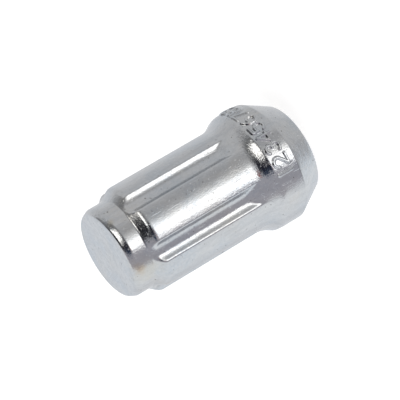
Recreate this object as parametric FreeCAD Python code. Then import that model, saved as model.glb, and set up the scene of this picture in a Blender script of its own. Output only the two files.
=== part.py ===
import FreeCAD, Part
import math
import os

# A closed-end lug nut for a six-flute spline key, forged and turned in one piece of plated steel. It
# stands on its open end with the closed nose up. The origin is the centre of the open end's face, +Z runs
# along the axis to the nose, and the sizes are in millimetres and degrees.

# The stud that the nut takes
stud_diameter = 12.0
thread_pitch = 1.5

# The blind hole, from its countersunk mouth to its drilled end
mouth_clearance = 0.8
mouth_angle = 90.0
crown_wall = 5.5
drill_point_angle = 118.0

# The open end's flat rim, the conical seat and the collar
rim_width = 1.1
seat_angle = 60.0
collar_diameter = 20.0
collar_length = 4.1

# The body, and the nose above it
overall_length = 35.0
flare_length = 2.2
body_diameter = 17.6
shoulder_length = 1.4
nose_step = 1.3
nose_length = 3.6
nose_taper_length = 1.2
nose_taper_angle = 24.0

# The flutes that the key grips
flute_count = 6
flute_turn = 34.9
flute_floor_width = 1.9
flute_wall_angle = 45.0
flute_depth = 0.92
flute_ramp_angle = 23.0
flute_end_margin = 0.9

# Edge radii; the rim, the seat's two edges and the nose's root are left sharp
collar_round = 0.9
flare_round = 3.3
shoulder_round = 2.2
nose_taper_round = 1.0
nose_edge_round = 0.55
flute_floor_round = 1.85
flute_edge_round = 0.35

# In a metric thread, the hole's crest lies five eighths of the triangle's height inside the stud's
crest_share = 5.0 / 8.0
thread_triangle = thread_pitch * math.sqrt(3.0) / 2.0

# Radii
bore_radius = stud_diameter / 2.0 - crest_share * thread_triangle
mouth_radius = (stud_diameter + mouth_clearance) / 2.0
rim_radius = mouth_radius + rim_width
collar_radius = collar_diameter / 2.0
body_radius = body_diameter / 2.0
nose_radius = body_radius - nose_step
flute_floor_radius = body_radius - flute_depth


def cotangent(degrees):
    """Run along a slope for each unit of its height."""
    return 1.0 / math.tan(math.radians(degrees))


# Heights above the open end, and the nose's radius where its taper ends
mouth_depth = (mouth_radius - bore_radius) * cotangent(mouth_angle / 2.0)
seat_top = (collar_radius - rim_radius) * cotangent(seat_angle / 2.0)
collar_top = seat_top + collar_length
flare_top = collar_top + flare_length
nose_foot = overall_length - nose_length
shoulder_foot = nose_foot - shoulder_length
taper_foot = overall_length - nose_taper_length
bore_tip = overall_length - crown_wall
bore_end = bore_tip - bore_radius * cotangent(drill_point_angle / 2.0)
face_radius = nose_radius - nose_taper_length / cotangent(nose_taper_angle)

# The axis that the nut is turned about, and the closeness that counts as touching
centre = FreeCAD.Vector(0, 0, 0)
upwards = FreeCAD.Vector(0, 0, 1)
full_turn = 360.0
touching = 0.001


def corner_arc(before, corner, after, radius):
    """Start, middle and end of the arc that rounds a corner; it takes at most half of either run."""
    to_before = before - corner
    to_after = after - corner
    half_angle = to_before.getAngle(to_after) / 2.0
    reach = min(radius / math.tan(half_angle), to_before.Length / 2.0, to_after.Length / 2.0)
    fitted = reach * math.tan(half_angle)
    to_before.normalize()
    to_after.normalize()
    inwards = (to_before + to_after).normalize()
    middle = corner + inwards * (fitted / math.sin(half_angle) - fitted)
    return corner + to_before * reach, middle, corner + to_after * reach


def flat_face(corners):
    """The flat face inside straight runs from corner to corner."""
    return Part.Face(Part.makePolygon(corners + corners[:1]))


def rounded_face(outline):
    """The flat face inside an outline of (corner, radius) pairs: straight runs joined by tangent arcs."""
    edges = []
    last = outline[-1][0]
    for index, (corner, radius) in enumerate(outline):
        following = outline[(index + 1) % len(outline)][0]
        if radius > 0:
            start, middle, end = corner_arc(outline[index - 1][0], corner, following, radius)
            edges.append(Part.LineSegment(last, start).toShape())
            edges.append(Part.Arc(start, middle, end).toShape())
        else:
            end = corner
            edges.append(Part.LineSegment(last, corner).toShape())
        last = end
    return Part.Face(Part.Wire(edges))


def turned_blank():
    """The nut before its flutes: half of its section, hole included, turned once about the axis."""
    outline = [
        (mouth_radius, 0.0, 0.0),
        (rim_radius, 0.0, 0.0),
        (collar_radius, seat_top, 0.0),
        (collar_radius, collar_top, collar_round),
        (body_radius, flare_top, flare_round),
        (body_radius, shoulder_foot, shoulder_round),
        (nose_radius, nose_foot, 0.0),
        (nose_radius, taper_foot, nose_taper_round),
        (face_radius, overall_length, nose_edge_round),
        (0.0, overall_length, 0.0),
        (0.0, bore_tip, 0.0),
        (bore_radius, bore_end, 0.0),
        (bore_radius, mouth_depth, 0.0),
    ]
    half_section = [(FreeCAD.Vector(radius, 0, height), edge) for radius, height, edge in outline]
    return rounded_face(half_section).revolve(centre, upwards, full_turn)


def flute_space():
    """The space of a flute that faces -Y: a flat floor between two slanted walls, open at the nose, and
    ending towards the collar in a ramp that climbs out of the body, with all its inner corners rounded."""
    outside = collar_radius
    height = outside - flute_floor_radius
    floor_half = flute_floor_width / 2.0
    outside_half = floor_half + height / cotangent(flute_wall_angle)
    ramp_top = flare_top + flute_end_margin
    ramp_foot = ramp_top + flute_depth * cotangent(flute_ramp_angle)
    ramp_outside = ramp_foot - height * cotangent(flute_ramp_angle)
    across = [
        FreeCAD.Vector(-floor_half, -flute_floor_radius, ramp_outside),
        FreeCAD.Vector(floor_half, -flute_floor_radius, ramp_outside),
        FreeCAD.Vector(outside_half, -outside, ramp_outside),
        FreeCAD.Vector(-outside_half, -outside, ramp_outside),
    ]
    along = [
        FreeCAD.Vector(-outside_half, -flute_floor_radius, ramp_foot),
        FreeCAD.Vector(-outside_half, -flute_floor_radius, overall_length),
        FreeCAD.Vector(-outside_half, -outside, overall_length),
        FreeCAD.Vector(-outside_half, -outside, ramp_outside),
    ]
    trough = flat_face(across).extrude(upwards * overall_length)
    sideways = FreeCAD.Vector(2.0 * outside_half, 0, 0)
    ramped = flat_face(along).extrude(sideways)
    space = trough.common(ramped).Solids[0]
    return space.makeFillet(flute_floor_round, inner_edges(space))


def inner_edges(space):
    """The edges round a flute's floor and ramp, which are neither at its outside nor at its nose end."""
    box = space.BoundBox
    middles = [(edge, edge.CenterOfMass) for edge in space.Edges]
    return [edge for edge, at in middles if at.y > box.YMin + touching and at.z < box.ZMax - touching]


def is_turned(face):
    """Whether a face belongs to the turned blank: a flat end, or a surface round the nut's own axis."""
    surface = face.Surface
    along_axis = abs(surface.Axis.dot(upwards)) > 1.0 - touching
    if isinstance(surface, Part.Plane):
        return along_axis
    return along_axis and math.hypot(surface.Center.x, surface.Center.y) < touching


def flute_edges(nut):
    """The edges where a flute breaks out through the turned surface."""
    pairs = [(edge, nut.ancestorsOfType(edge, Part.Face)) for edge in nut.Edges]
    return [edge for edge, faces in pairs if len({is_turned(face) for face in faces}) > 1]


def lug_nut():
    """The turned blank with its flutes sunk in, evenly spaced round the body, and their edges rounded."""
    spaces = []
    for number in range(flute_count):
        space = flute_space()
        space.rotate(centre, upwards, flute_turn + number * full_turn / flute_count)
        spaces.append(space)
    fluted = turned_blank().cut(spaces).Solids[0]
    return fluted.makeFillet(flute_edge_round, flute_edges(fluted)).Solids[0]


os.makedirs("parts", exist_ok=True)
lug_nut().exportStep("parts/lug_nut.step")
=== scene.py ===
import bmesh
import bpy
import numpy as np
from mathutils import Matrix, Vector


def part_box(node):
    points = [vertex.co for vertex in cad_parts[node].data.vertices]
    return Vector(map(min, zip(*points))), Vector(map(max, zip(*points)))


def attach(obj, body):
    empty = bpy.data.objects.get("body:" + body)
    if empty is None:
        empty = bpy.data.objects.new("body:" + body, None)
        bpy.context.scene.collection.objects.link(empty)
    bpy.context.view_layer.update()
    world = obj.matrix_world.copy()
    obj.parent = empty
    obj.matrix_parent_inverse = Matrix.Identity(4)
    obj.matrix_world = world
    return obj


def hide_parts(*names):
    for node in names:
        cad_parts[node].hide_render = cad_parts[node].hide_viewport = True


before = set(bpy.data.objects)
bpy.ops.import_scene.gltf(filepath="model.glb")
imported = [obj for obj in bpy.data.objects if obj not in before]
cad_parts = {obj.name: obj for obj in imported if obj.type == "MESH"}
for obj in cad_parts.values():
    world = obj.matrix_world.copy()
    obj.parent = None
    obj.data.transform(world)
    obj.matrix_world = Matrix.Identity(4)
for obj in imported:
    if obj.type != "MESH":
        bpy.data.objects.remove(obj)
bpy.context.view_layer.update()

# The photograph's view: a long lens a little above the nut, turned until the closed nose points down to
# the left. The camera stands a little aside, so that the nut lies where it does in the square picture.
lowest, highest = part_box("lug_nut")
aim = np.array([0.0, 0.0, highest.z / 2.0])
view_tilt, view_roll = np.radians(22.5), np.radians(30.57)
view_distance = 0.3606
lens_over_frame = 5.86
camera_aside, camera_above = 0.000134, 0.000234

object_right = np.array([1.0, 0.0, 0.0])
object_up = np.array([0.0, np.sin(view_tilt), np.cos(view_tilt)])
towards_camera = np.array([0.0, -np.cos(view_tilt), np.sin(view_tilt)])
camera_right = -np.sin(view_roll) * object_right - np.cos(view_roll) * object_up
camera_up = np.cos(view_roll) * object_right - np.sin(view_roll) * object_up
camera_shift = camera_right * camera_aside + camera_up * camera_above
camera_place = aim + towards_camera * view_distance + camera_shift
camera_axes = Matrix(np.stack([camera_right, camera_up, towards_camera], 1).tolist())

camera_data = bpy.data.cameras.new("camera")
camera_data.lens = camera_data.sensor_width * lens_over_frame
camera_data.clip_start = 0.01
camera_data.clip_end = 10.0
camera = bpy.data.objects.new("camera", camera_data)
bpy.context.scene.collection.objects.link(camera)
camera.matrix_world = Matrix.Translation(camera_place.tolist()) @ camera_axes.to_4x4()
bpy.context.scene.camera = camera


# The nut is one piece of steel: its section is forged and turned, six flutes are sunk into the body for
# the key, plain figures stand raised on the collar, and the blind hole is drilled and tapped. The whole is
# plated bright, and it replaces the plain solid, whose sizes it keeps.
mm = 0.001
length = highest.z
collar_radius = highest.x
body_radius, nose_radius, face_radius = 8.8 * mm, 7.5 * mm, 6.966 * mm
mouth_radius, rim_middle, rim_radius = 6.4 * mm, 7.0 * mm, 7.5 * mm
seat_top, collar_top, flare_top = 4.33 * mm, 8.43 * mm, 10.35 * mm
nose_foot = length - 3.48 * mm
shoulder_foot = nose_foot - 1.62 * mm
taper_foot = length - 1.08 * mm


def turned_outline(corners, radii, steps):
    """The outline through the corners as straight runs joined by arcs. Each arc's centre lies on its
    corner's bisector, at the radius over the sine of half the angle, and the arc faces the corner."""
    here, before, after = corners[1:-1], corners[:-2], corners[2:]
    to_before = (before - here) / np.linalg.norm(before - here, axis=1, keepdims=True)
    to_after = (after - here) / np.linalg.norm(after - here, axis=1, keepdims=True)
    half = np.arccos((to_before * to_after).sum(1)) / 2.0
    bisector = to_before + to_after
    bisector /= np.linalg.norm(bisector, axis=1, keepdims=True)
    along = to_after - to_before
    along /= np.linalg.norm(along, axis=1, keepdims=True)
    centre = here + bisector * (radii / np.sin(half))[:, None]
    turn = np.linspace(-1.0, 1.0, steps)[None, :] * (np.pi / 2.0 - half)[:, None]
    arcs = centre[:, None] + radii[:, None, None] * (
        np.sin(turn)[..., None] * along[:, None] - np.cos(turn)[..., None] * bisector[:, None]
    )
    return np.concatenate([corners[:1], arcs.reshape(-1, 2), corners[-1:]])


def crowded_stations(places, cost):
    """Stations along a line, so that from one to the next the running cost rises by about one."""
    count = int(np.ceil(cost[-1])) + 1
    return np.interp(np.linspace(0.0, cost[-1], count), cost, places)


# The turned outline, from the rim up to the middle of the nose, as radius and height
corners = np.array([
    (rim_middle, 0.0),
    (rim_radius, 0.0),
    (collar_radius, seat_top),
    (collar_radius, collar_top),
    (body_radius, flare_top),
    (body_radius, shoulder_foot),
    (nose_radius, nose_foot),
    (nose_radius, taper_foot),
    (face_radius, length),
    (0.0, length),
])
points_on_edge = 13
edge_radii = np.array([0.15, 0.5, 0.9, 4.8, 1.7, 0.6, 0.9, 0.62]) * mm
outline = turned_outline(corners, edge_radii, points_on_edge)

# The flutes: six of them, each a round-bottomed trough with slanted walls and a ramp at the collar's end
flute_count = 6
flute_pitch = 2.0 * np.pi / flute_count
flute_turn = np.radians(34.9)
flute_depth = 0.92 * mm
flute_floor = body_radius - flute_depth
flute_half_floor = 0.16 * mm
flute_round = 1.85 * mm
flute_wall = np.radians(50.0)
flute_ramp = np.tan(np.radians(23.0))
ramp_top = 11.18 * mm
ramp_foot = ramp_top + flute_depth / flute_ramp
settling_passes = 12
ramp_corner, mouth_corner = 0.3 * mm, 0.48 * mm


def filled_corner(first, second, corner):
    """The larger of two heights, with the corner between them filled: where they differ by less than
    the corner, the square of what is missing is added."""
    near = np.maximum(corner - np.abs(first - second), 0.0)
    return np.maximum(first, second) + near ** 2 / (4.0 * corner)


def flute_level(aside, height):
    """The flute's distance from the axis, measured along its own middle line. Aside from that line it
    is a flat floor, an arc that climbs as its radius less the root of radius squared less aside squared,
    and a straight wall from where the arc has the wall's slope. The ramp fills the floor's end."""
    past_floor = np.maximum(np.abs(aside) - flute_half_floor, 0.0)
    arc_reach = flute_round * np.sin(flute_wall)
    on_arc = np.minimum(past_floor, arc_reach)
    section = flute_round - np.sqrt(flute_round ** 2 - on_arc ** 2)
    section = section + (past_floor - on_arc) * np.tan(flute_wall)
    ramp = (ramp_foot - height) * flute_ramp
    return flute_floor + filled_corner(section, ramp, ramp_corner)


def from_flute_middle(angle):
    """The angle from the middle of the nearest flute, less than half the pitch to either side."""
    return (angle - flute_turn + flute_pitch / 2.0) % flute_pitch - flute_pitch / 2.0


def flute_radius(angle, height):
    """Distance from the axis to the flutes' surface in polar form. Each pass takes the level at the
    last radius times the sine of the angle from the flute's middle, and divides it by the cosine."""
    across = from_flute_middle(angle)
    radius = np.full(across.shape, body_radius)
    for settle in range(settling_passes):
        radius = flute_level(radius * np.sin(across), height) / np.cos(across)
    return radius


# The raised figures on the collar, in one row: strokes as runs of points, in widths and heights of a
# figure, and each figure's middle round the nut in degrees
figure_height, figure_width = 2.4 * mm, 1.8 * mm
figure_foot = 5.55 * mm
stroke_half = 0.07 * mm
stroke_edge = 0.25 * mm
stroke_raise = 0.25 * mm
points_on_arc = 11


def figure_arc(middle_x, middle_y, radius_x, radius_y, start, end):
    """Points on a part of an ellipse, from the start angle to the end angle in degrees."""
    turn = np.radians(np.linspace(start, end, points_on_arc))
    return np.stack([middle_x + radius_x * np.cos(turn), middle_y + radius_y * np.sin(turn)], 1)


figures = {
    "1": [np.array([(0.0, 0.0), (0.0, 1.0)])],
    "2": [np.concatenate([
        figure_arc(0.0, 0.7, 0.42, 0.3, 170.0, -35.0),
        [(-0.42, 0.0), (0.45, 0.0)],
    ])],
    "3": [np.concatenate([
        figure_arc(0.0, 0.75, 0.38, 0.25, 150.0, -80.0),
        figure_arc(0.0, 0.26, 0.44, 0.26, 80.0, -150.0),
    ])],
    "4": [np.array([(0.22, 0.0), (0.22, 1.0), (-0.45, 0.3), (0.48, 0.3)])],
    "5": [np.concatenate([
        [(0.38, 1.0), (-0.32, 1.0), (-0.36, 0.56)],
        figure_arc(0.0, 0.33, 0.42, 0.33, 130.0, -150.0),
    ])],
    "6": [figure_arc(0.0, 0.31, 0.41, 0.31, 0.0, 360.0), figure_arc(0.3, 0.31, 0.71, 0.69, 180.0, 100.0)],
    "7": [np.array([(-0.42, 1.0), (0.44, 1.0), (-0.12, 0.0)])],
    "8": [figure_arc(0.0, 0.76, 0.34, 0.24, 0.0, 360.0), figure_arc(0.0, 0.27, 0.43, 0.27, 0.0, 360.0)],
}
figures["9"] = [np.array([0.0, 1.0]) - stroke for stroke in figures["6"]]
marking = [
    ("1", -16.3), ("2", -5.7), ("3", 7.5),
    ("4", 19.5), ("5", 31.0), ("6", 42.5),
    ("7", 54.0), ("8", 65.5), ("9", 77.0),
]


def marking_raise(angle, height):
    """How far the figures stand above the collar: full over each stroke, falling smoothly to nothing
    with the distance from the nearest stroke's line."""
    flat = np.stack([collar_radius * angle, height - figure_foot], -1)
    figure_size = np.array([figure_width, figure_height])
    nearest = np.full(angle.shape, np.inf)
    for name, middle in marking:
        for stroke in figures[name]:
            path = stroke * figure_size + np.array([collar_radius * np.radians(middle), 0.0])
            for start, end in zip(path[:-1], path[1:]):
                run = end - start
                share = np.clip(((flat - start) @ run) / (run @ run), 0.0, 1.0)
                gap = np.linalg.norm(flat - start - share[..., None] * run, axis=-1)
                nearest = np.minimum(nearest, gap)
    fall = np.clip((stroke_half + stroke_edge - nearest) / stroke_edge, 0.0, 1.0)
    return stroke_raise * fall ** 2 * (3.0 - 2.0 * fall)


# Rows crowd where the outline turns, at the raised figures, at the ramps and at the shoulder
plain_row, figure_row, ramp_row, shoulder_row = 1.2 * mm, 0.07 * mm, 0.16 * mm, 0.11 * mm
turn_in_row = np.radians(7.5)
fine_points = 2000
nearly_level = 0.9
steps = np.linalg.norm(np.diff(outline, axis=0), axis=1)
travel = np.concatenate([[0.0], np.cumsum(steps)])
fine_travel = np.unique(np.concatenate([travel, np.linspace(0.0, travel[-1], fine_points)]))
fine = np.stack([np.interp(fine_travel, travel, outline[:, axis]) for axis in (0, 1)], 1)
run = np.diff(fine, axis=0)
heading = np.unwrap(np.arctan2(run[:, 1], run[:, 0]))
turned = np.concatenate([[0.0], np.abs(np.diff(heading))])
middle_height = (fine[1:, 1] + fine[:-1, 1]) / 2.0
on_side = np.abs(np.cos(heading)) < nearly_level


def band(low, high):
    """One where a row's height lies between the two, on the nut's side, and nothing elsewhere."""
    return ((middle_height > low) & (middle_height < high) & on_side).astype(float)


figure_margin = 0.35 * mm
figure_band = band(figure_foot - figure_margin, figure_foot + figure_height + figure_margin)
ramp_band = band(flare_top + 0.4 * mm, ramp_foot + 0.9 * mm)
shoulder_band = band(shoulder_foot - 0.95 * mm, nose_foot - 0.1 * mm)
crowding = 1.0 / plain_row + figure_band / figure_row + ramp_band / ramp_row + shoulder_band / shoulder_row
run_cost = np.linalg.norm(run, axis=1) * crowding + turned / turn_in_row
cost = np.concatenate([[0.0], np.cumsum(run_cost)])
row_travel = crowded_stations(fine_travel, cost)
row_radius = np.interp(row_travel, fine_travel, fine[:, 0])[:, None]
row_height = np.interp(row_travel, fine_travel, fine[:, 1])[:, None]

# Columns crowd across the flutes' walls and the raised figures; their widths are in degrees
plain_column, wall_column, figure_column = 2.8, 0.95, 0.46
half_mouth = np.radians(14.5)
marking_start, marking_end = np.radians(-19.0), np.radians(83.5)
fine_columns = 7200
sweep = np.linspace(-np.pi, np.pi, fine_columns + 1)
middle_sweep = (sweep[1:] + sweep[:-1]) / 2.0
at_walls = np.abs(from_flute_middle(middle_sweep)) < half_mouth
at_marking = (middle_sweep > marking_start) & (middle_sweep < marking_end)
wanted = np.where(at_marking, figure_column, np.where(at_walls, wall_column, plain_column))
column_cost = np.concatenate([[0.0], np.cumsum(np.degrees(np.diff(sweep)) / wanted)])
column_angle = crowded_stations(sweep, column_cost)[:-1]

angle = np.broadcast_to(column_angle[None, :], (len(row_radius), len(column_angle)))
height = np.broadcast_to(row_height, angle.shape)
radius = -filled_corner(-row_radius, -flute_radius(angle, height), mouth_corner)
near_collar = row_radius > collar_radius - 0.05 * mm
on_collar = (height > seat_top) & (height < collar_top) & near_collar
radius = radius + np.where(on_collar, marking_raise(angle, height), 0.0)
outside = np.stack([radius * np.sin(angle), -radius * np.cos(angle), height], -1)

# The stud hole: a right-hand metric thread of 1.5 mm pitch, from the countersunk mouth to its run-out
thread_pitch = 1.5 * mm
thread_root = 6.0 * mm
thread_depth = 5.0 / 8.0 * thread_pitch * np.sqrt(3.0) / 2.0
half_crest, half_root = 1.0 / 8.0, 1.0 / 16.0
bore_radius = thread_root - thread_depth
thread_end = 24.2 * mm
thread_fade = 2.0 * thread_pitch
crown_wall = 5.5 * mm
half_drill_point = np.radians(59.0)
bore_tip = length - crown_wall
bore_end = bore_tip - bore_radius / np.tan(half_drill_point)
hole_columns = 96
rows_in_pitch = np.array([0.0, 0.10, 0.15, 0.415, 0.46, 0.54, 0.585, 0.85, 0.90])


def hole_radius(phase, height):
    """The threaded hole's radius. Over one pitch the thread is a flat crest an eighth of the pitch to
    each side, two straight flanks and a flat root; it fades into the drilled hole, and the mouth's
    countersink cuts into it at 45 degrees."""
    from_crest = np.abs((phase + 0.5) % 1.0 - 0.5)
    rise = np.clip((from_crest - half_crest) / (0.5 - half_root - half_crest), 0.0, 1.0)
    fade = np.clip((thread_end - height) / thread_fade, 0.0, 1.0)
    return np.maximum(bore_radius + thread_depth * rise * fade, mouth_radius - height)


turns = int(np.ceil(thread_end / thread_pitch)) + 1
row_phase = (np.arange(turns + 1)[:, None] + rows_in_pitch[None, :]).ravel() - 1.0
hole_angle = np.arange(hole_columns) * 2.0 * np.pi / hole_columns
climb = row_phase[:, None] + hole_angle[None, :] / (2.0 * np.pi)
hole_height = np.clip(climb * thread_pitch, 0.0, thread_end)
phase = hole_height / thread_pitch - hole_angle[None, :] / (2.0 * np.pi)
thread_radius = hole_radius(phase, hole_height)

# Above the thread the hole is plain, and ends in the drill's point
end_height = np.array([
    bore_end - 0.2 * mm,
    bore_end,
    bore_end + 0.15 * mm,
    bore_tip - 0.4 * mm,
    bore_tip,
])[:, None]
end_radius = np.clip((bore_tip - end_height) / (bore_tip - bore_end), 0.0, 1.0) * bore_radius
hole_height = np.concatenate([hole_height, np.repeat(end_height, hole_columns, axis=1)])
thread_radius = np.concatenate([thread_radius, np.repeat(end_radius, hole_columns, axis=1)])
inside = np.stack([
    thread_radius * np.sin(hole_angle), -thread_radius * np.cos(hole_angle), hole_height,
], -1)


def wall_faces(rows, columns, lift):
    """Four corners of each cell of a grid that closes on itself sideways. At the seam the last column
    meets the first column's point that lies the lift's number of rows higher."""
    row, column = np.meshgrid(np.arange(rows - 1), np.arange(columns), indexing="ij")
    right = column + 1
    seam = right == columns
    right = np.where(seam, 0, right)
    right_row = np.where(seam, row + lift, row)
    kept = right_row < rows - 1
    cells = np.stack([
        row * columns + column,
        right_row * columns + right,
        (right_row + 1) * columns + right,
        (row + 1) * columns + column,
    ], -1)
    return cells[kept]


def rim_faces(outer, inner):
    """The flat ring between two circles, as triangles: each piece of either circle, with the point of
    the other circle that was reached last, going round by angle. Returns columns of both circles."""
    outer_end = np.append(outer[1:], outer[0] + 2.0 * np.pi)
    inner_end = np.append(inner[1:], inner[0] + 2.0 * np.pi)
    outer_index, inner_index = np.arange(len(outer)), np.arange(len(inner))
    reached_inner = np.searchsorted(inner_end, outer_end, side="left") % len(inner)
    reached_outer = np.searchsorted(outer_end, inner_end, side="right") % len(outer)
    on_outer = np.stack([(outer_index + 1) % len(outer), outer_index, -1 - reached_inner], 1)
    on_inner = np.stack([-1 - inner_index, -1 - (inner_index + 1) % len(inner), reached_outer], 1)
    return np.concatenate([on_outer, on_inner])


# One closed skin: the outside's grid, the hole's grid turned inside out, and the rim between them
outside_points = outside.reshape(-1, 3)
inside_points = inside.reshape(-1, 3)
outside_quads = wall_faces(len(row_radius), len(column_angle), 0)
thread_quads = wall_faces(len(row_phase), hole_columns, len(rows_in_pitch))
end_quads = wall_faces(len(end_height) + 1, hole_columns, 0) + (len(row_phase) - 1) * hole_columns
inside_quads = np.concatenate([thread_quads, end_quads])[:, ::-1] + len(outside_points)
half_round = hole_columns // 2
rim_triangles = rim_faces(column_angle, hole_angle - np.pi)
rim_triangles = np.where(
    rim_triangles < 0,
    len(outside_points) + (-1 - rim_triangles + half_round) % hole_columns,
    rim_triangles,
)
skin_points = np.concatenate([outside_points, inside_points])
skin_faces = outside_quads.tolist() + inside_quads.tolist() + rim_triangles.tolist()
merged_within, sharp_edge = 0.002 * mm, np.radians(32.0)
skin = bpy.data.meshes.new("fluted_nut")
skin.from_pydata(skin_points.tolist(), [], skin_faces)
joined = bmesh.new()
joined.from_mesh(skin)
bmesh.ops.remove_doubles(joined, verts=joined.verts, dist=merged_within)
joined.to_mesh(skin)
joined.free()
skin.shade_smooth()
skin.set_sharp_from_angle(angle=sharp_edge)
nut = bpy.data.objects.new("fluted_nut", skin)
bpy.context.scene.collection.objects.link(nut)
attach(nut, "root")
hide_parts("lug_nut")

# Bright plating over forged steel, in cool and warm clouds, with flecks, streaks, a few dark specks, and a
# faint straw tint at the nose's edge
plating = bpy.data.materials.new("bright_plating")
plating.use_nodes = True
nodes, links = plating.node_tree.nodes, plating.node_tree.links
shader = nodes["Principled BSDF"]
shader.inputs["Metallic"].default_value = 1.0
place = nodes.new("ShaderNodeTexCoord").outputs["Object"]


def noise(size, detail, stretch=(1.0, 1.0, 1.0), lean=0.0):
    """A noise value with features of about the given size, drawn out along the axes by the stretch and
    leaning from the nut's axis by the given angle."""
    spread = nodes.new("ShaderNodeMapping")
    spread.inputs["Rotation"].default_value = (np.radians(lean), np.radians(lean), 0.0)
    spread.inputs["Scale"].default_value = [1.0 / share for share in stretch]
    links.new(place, spread.inputs["Vector"])
    node = nodes.new("ShaderNodeTexNoise")
    links.new(spread.outputs["Vector"], node.inputs["Vector"])
    node.inputs["Scale"].default_value = 1.0 / size
    node.inputs["Detail"].default_value = detail
    return node.outputs["Fac"]


def ramped(value, low, high, first, last):
    """The value taken from its low and high to the first and last number, smoothly and held beyond."""
    node = nodes.new("ShaderNodeMapRange")
    node.interpolation_type = "SMOOTHSTEP"
    links.new(value, node.inputs["Value"])
    for name, number in (("From Min", low), ("From Max", high), ("To Min", first), ("To Max", last)):
        node.inputs[name].default_value = number
    return node.outputs["Result"]


def combined(operation, *values):
    """The values added, multiplied, compared or turned by the operation; any may be a plain number."""
    node = nodes.new("ShaderNodeMath")
    node.operation = operation
    for socket, value in zip(node.inputs, values):
        if isinstance(value, bpy.types.NodeSocket):
            links.new(value, socket)
        else:
            socket.default_value = value
    return node.outputs[0]


def tinted(under, tone, share):
    """The colour under, taken towards the tone by the share."""
    node = nodes.new("ShaderNodeMix")
    node.data_type = "RGBA"
    links.new(share, node.inputs["Factor"])
    if isinstance(under, bpy.types.NodeSocket):
        links.new(under, node.inputs["A"])
    else:
        node.inputs["A"].default_value = (*under, 1.0)
    node.inputs["B"].default_value = (*tone, 1.0)
    return node.outputs["Result"]


def near(spot, radius):
    """One at the spot, falling to nothing at the radius, with a ragged edge."""
    away = nodes.new("ShaderNodeVectorMath")
    away.operation = "DISTANCE"
    links.new(place, away.inputs[0])
    away.inputs[1].default_value = spot
    ragged = combined("MULTIPLY", noise(1.6 * mm, 3.0), radius)
    return ramped(combined("ADD", away.outputs["Value"], ragged), radius * 0.5, radius * 1.35, 1.0, 0.0)


def on_nut(turn, radius, height):
    """The place at a turn in degrees from the front, at a radius and a height in millimetres."""
    return (radius * mm * np.sin(np.radians(turn)), -radius * mm * np.cos(np.radians(turn)), height * mm)


# One on the nose's turned face, and nothing below its rounded edge
parts = nodes.new("ShaderNodeSeparateXYZ")
links.new(place, parts.inputs[0])
on_face = ramped(parts.outputs["Z"], length - 0.25 * mm, length - 0.02 * mm, 0.0, 1.0)

# The tones, each laid over those before it
cool_tone, plain_tone, warm_tone = (0.565, 0.600, 0.637), (0.632, 0.638, 0.644), (0.640, 0.622, 0.594)
fleck_tone, streak_tone, speck_tone = (0.672, 0.678, 0.686), (0.560, 0.572, 0.590), (0.200, 0.190, 0.180)
plain_clouds = ramped(noise(4.0 * mm, 5.0, (1.0, 1.0, 1.5)), 0.38, 0.62, 0.0, 1.0)
warm_clouds = ramped(noise(6.0 * mm, 4.0, (1.3, 1.0, 1.6)), 0.52, 0.68, 0.0, 0.7)
flecks = ramped(noise(0.45 * mm, 3.0), 0.35, 0.65, 0.0, 0.55)
streaks = ramped(noise(0.7 * mm, 4.0, (1.0, 1.0, 5.0), 32.0), 0.42, 0.68, 0.0, 0.6)
specks = ramped(noise(0.3 * mm, 0.0), 0.80, 0.84, 0.0, 0.8)
colour = tinted(cool_tone, plain_tone, plain_clouds)
colour = tinted(colour, warm_tone, warm_clouds)
colour = tinted(colour, fleck_tone, flecks)
colour = tinted(colour, streak_tone, streaks)
colour = tinted(colour, speck_tone, specks)

# The tints at the nose's edge: each one's tone, place, reach and strength
straw_tints = [
    ((0.635, 0.610, 0.545), on_nut(-40.0, 7.5, 32.8), 4.2 * mm, 0.6),
    ((0.620, 0.520, 0.400), on_nut(-33.0, 7.4, 33.9), 1.9 * mm, 0.85),
    ((0.600, 0.550, 0.450), on_nut(33.0, 7.4, 34.0), 1.2 * mm, 0.7),
]
for tone, spot, reach, strength in straw_tints:
    colour = tinted(colour, tone, combined("MULTIPLY", near(spot, reach), strength))
links.new(colour, shader.inputs["Base Color"])

# The gloss: smeared by handling, with a fine grain, and duller on the nose's turned face
smears = ramped(noise(3.0 * mm, 5.0, (1.0, 1.0, 2.5)), 0.35, 0.7, 0.08, 0.14)
grain = ramped(noise(0.25 * mm, 2.0), 0.3, 0.7, -0.02, 0.04)
dull_face = combined("MULTIPLY", on_face, 0.10)
dullness = combined("ADD", combined("ADD", smears, grain), dull_face)
links.new(dullness, shader.inputs["Roughness"])

# The relief, in shares of one height: the plating's soft waves and sand, faint drawn lines, pits, scratches
# from handling, and turned rings on the nose's face, a noise read along the distance from the axis
relief_height = 0.012 * mm
wave_height, sand_height, drawn_height, ring_height = 3.4, 1.8, 0.35, 1.3
pit_depth, scratch_depth = -1.0, -0.8
ring_width = 0.3 * mm
waves = combined("MULTIPLY", noise(2.2 * mm, 3.0), wave_height)
sand = combined("MULTIPLY", noise(0.2 * mm, 2.0), sand_height)
drawn = combined("MULTIPLY", noise(0.3 * mm, 2.0, (1.0, 1.0, 6.0), 6.0), drawn_height)
pits = ramped(noise(0.35 * mm, 0.0), 0.2, 0.27, pit_depth, 0.0)
upright_scratches = ramped(noise(0.4 * mm, 0.0, (1.0, 1.0, 12.0), 8.0), 0.17, 0.21, scratch_depth, 0.0)
leaning_scratches = ramped(noise(0.4 * mm, 0.0, (1.0, 1.0, 10.0), 55.0), 0.17, 0.21, scratch_depth, 0.0)
scratches = combined("MINIMUM", upright_scratches, leaning_scratches)

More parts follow.
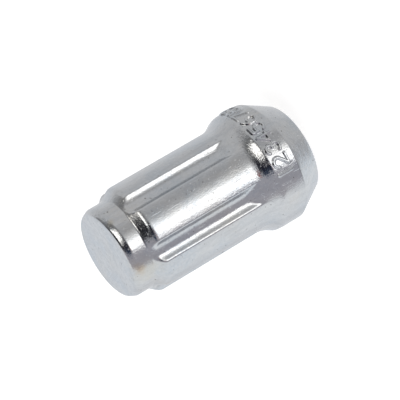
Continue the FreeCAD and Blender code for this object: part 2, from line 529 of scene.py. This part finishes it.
across = nodes.new("ShaderNodeVectorMath")
across.operation = "MULTIPLY"
across.inputs[1].default_value = (1.0, 1.0, 0.0)
links.new(place, across.inputs[0])
from_axis = nodes.new("ShaderNodeVectorMath")
from_axis.operation = "LENGTH"
links.new(across.outputs["Vector"], from_axis.inputs[0])
rings = nodes.new("ShaderNodeTexNoise")
rings.noise_dimensions = "1D"
rings.inputs["Scale"].default_value = 1.0 / ring_width
rings.inputs["Detail"].default_value = 2.0
links.new(from_axis.outputs["Value"], rings.inputs["W"])
turned_rings = combined("MULTIPLY", combined("MULTIPLY", rings.outputs["Fac"], on_face), ring_height)

relief = waves
for layer in (sand, drawn, pits, scratches, turned_rings):
    relief = combined("ADD", relief, layer)
bump = nodes.new("ShaderNodeBump")
bump.inputs["Strength"].default_value = 1.0
bump.inputs["Distance"].default_value = relief_height
links.new(relief, bump.inputs["Height"])
links.new(bump.outputs["Normal"], shader.inputs["Normal"])
skin.materials.append(plating)


# The floor is a plain pale sheet under the nut. The metal looks through it at the studio's walls, which
# go on below it, as round a small thing held up in a light tent.
floor_reach = 1.5
floor_mesh = bpy.data.meshes.new("floor")
floor_corners = floor_reach * np.array([(-1, -1, 0), (1, -1, 0), (1, 1, 0), (-1, 1, 0)])
floor_mesh.from_pydata(floor_corners.tolist(), [], [(0, 1, 2, 3)])
floor = bpy.data.objects.new("floor", floor_mesh)
bpy.context.scene.collection.objects.link(floor)
floor.visible_glossy = False
floor.visible_shadow = False

# Its paper is lifted towards white only where it is looked at, and so lights nothing
paper_tone = (0.92, 0.90, 0.88)
paper_lift = 0.66
pale_floor = bpy.data.materials.new("pale_floor")
pale_floor.use_nodes = True
nodes, links = pale_floor.node_tree.nodes, pale_floor.node_tree.links
nodes.clear()
output = nodes.new("ShaderNodeOutputMaterial")
paper = nodes.new("ShaderNodeBsdfDiffuse")
paper.inputs["Color"].default_value = (*paper_tone, 1.0)
lift = nodes.new("ShaderNodeEmission")
ray = nodes.new("ShaderNodeLightPath")
both = nodes.new("ShaderNodeAddShader")
seen = combined("MAXIMUM", ray.outputs["Is Camera Ray"], ray.outputs["Is Glossy Ray"])
seen = combined("MAXIMUM", seen, ray.outputs["Is Transmission Ray"])
links.new(combined("MULTIPLY", seen, paper_lift), lift.inputs["Strength"])
links.new(paper.outputs[0], both.inputs[0])
links.new(lift.outputs[0], both.inputs[1])
links.new(both.outputs[0], output.inputs["Surface"])
floor_mesh.materials.append(pale_floor)

# The studio is a round white tent, with soft-edged panels and ovals hung on it. Their left and right edges
# are turns round the nut, in degrees from the camera's side towards the right, and their lower and upper
# edges are heights above level, in degrees too.
studio = bpy.data.worlds.new("studio")
bpy.context.scene.world = studio
studio.use_nodes = True
nodes, links = studio.node_tree.nodes, studio.node_tree.links
direction = nodes.new("ShaderNodeTexCoord").outputs["Generated"]
parts = nodes.new("ShaderNodeSeparateXYZ")
links.new(direction, parts.inputs[0])
flat = nodes.new("ShaderNodeVectorMath")
flat.operation = "MULTIPLY"
flat.inputs[1].default_value = (1.0, 1.0, 0.0)
level = nodes.new("ShaderNodeVectorMath")
level.operation = "NORMALIZE"
links.new(direction, flat.inputs[0])
links.new(flat.outputs[0], level.inputs[0])
climb = combined("ARCSINE", parts.outputs["Z"])


def away_from(turn):
    """The angle round the nut between a direction and the given turn in degrees, never negative."""
    towards = nodes.new("ShaderNodeVectorMath")
    towards.operation = "DOT_PRODUCT"
    links.new(level.outputs[0], towards.inputs[0])
    towards.inputs[1].default_value = (np.sin(np.radians(turn)), -np.cos(np.radians(turn)), 0.0)
    return combined("ARCCOSINE", towards.outputs["Value"])


def inside_edge(distance, edge, softness):
    """One where the distance is less than the edge, falling smoothly to nothing across it."""
    return ramped(distance, edge - softness, edge + softness, 1.0, 0.0)


def panel(wall, tone, left, right, low, high, softness):
    """The wall with a panel laid over it: the panel's tone where both the angle from its middle and the
    angle from its mid height are inside its edges, which are given in degrees."""
    upwards = combined("ABSOLUTE", combined("SUBTRACT", climb, np.radians((low + high) / 2.0)))
    aside = away_from((left + right) / 2.0)
    mask = combined(
        "MULTIPLY",
        inside_edge(aside, np.radians((right - left) / 2.0), np.radians(softness)),
        inside_edge(upwards, np.radians((high - low) / 2.0), np.radians(softness)),
    )
    return tinted(wall, tone, mask)


def oval(wall, tone, left, right, low, high, softness):
    """The wall with an oval laid over it: the root of the sum of the squares of the two angles from its
    middle, each as a share of the oval's half size, is less than one inside it. Softness is a share."""
    aside = combined("DIVIDE", away_from((left + right) / 2.0), np.radians((right - left) / 2.0))
    upwards = combined("SUBTRACT", climb, np.radians((low + high) / 2.0))
    upwards = combined("DIVIDE", upwards, np.radians((high - low) / 2.0))
    squares = combined("ADD", combined("MULTIPLY", aside, aside), combined("MULTIPLY", upwards, upwards))
    return tinted(wall, tone, inside_edge(combined("SQRT", squares), 1.0, softness))


# Each is laid over those before it. After its tone come its left, right, lower and upper edge, and how
# soft the edge is: in degrees for a panel, and as a share of the half size for an oval.
tent = (0.915, 0.940, 0.965)
hangings = [
    # The walls behind the nut and beside it
    (panel, (0.78, 0.80, 0.83), -172.0, -124.0, -45.0, 30.0, 10.0),
    (panel, (0.73, 0.74, 0.76), 90.0, 172.0, -120.0, 120.0, 12.0),
    (panel, (0.82, 0.85, 0.89), 142.0, 222.0, 4.0, 55.0, 10.0),
    (panel, (0.59, 0.595, 0.605), 8.0, 122.0, -120.0, 120.0, 14.0),
    (panel, (0.45, 0.45, 0.455), 8.0, 42.0, -64.0, 40.0, 9.0),
    # The lit sheet below the camera, with its bright middle
    (panel, (0.90, 0.90, 0.89), -60.0, 16.0, -56.0, -4.0, 13.0),
    (panel, (2.1, 2.08, 2.05), -60.0, 4.0, -50.0, -4.0, 8.0),
    # The grey card to the left of it, and the shaded floor of the tent
    (panel, (0.44, 0.43, 0.465), -67.0, -36.0, -120.0, 120.0, 9.0),
    (panel, (0.44, 0.43, 0.465), -56.0, -19.5, -120.0, 120.0, 6.5),
    (panel, (0.33, 0.325, 0.34), -84.0, -10.0, -62.0, -38.0, 7.0),
    (panel, (0.49, 0.49, 0.50), -94.0, 24.0, -120.0, -66.0, 7.0),
    # The dark upper corner on the right
    (panel, (0.24, 0.24, 0.245), 50.0, 130.0, 25.0, 120.0, 8.0),
    (panel, (0.04, 0.04, 0.05), 60.0, 140.0, 54.0, 120.0, 10.0),
    # The dark room round the camera, a lamp in it, and the tent's opening above
    (oval, (0.17, 0.17, 0.17), -12.0, 70.0, 10.0, 60.0, 0.3),
    (oval, (0.03, 0.05, 0.09), -28.0, -8.0, 18.0, 44.0, 0.3),
    (oval, (0.32, 0.12, 0.11), -20.0, -6.0, 1.0, 13.0, 0.35),
    (panel, (0.02, 0.02, 0.03), -15.0, 15.0, 11.0, 60.0, 7.0),
    (oval, (2.3, 2.26, 2.17), 5.0, 61.0, 28.0, 72.0, 0.24),
    (panel, (0.02, 0.02, 0.025), -20.0, 50.0, 45.0, 120.0, 3.5),
    (panel, (0.025, 0.025, 0.03), 0.0, 78.0, 48.0, 120.0, 10.0),
]
for hung, tone, left, right, low, high, softness in hangings:
    tent = hung(tent, tone, left, right, low, high, softness)
links.new(tent, nodes["Background"].inputs["Color"])
bpy.context.scene.view_settings.view_transform = "Standard"
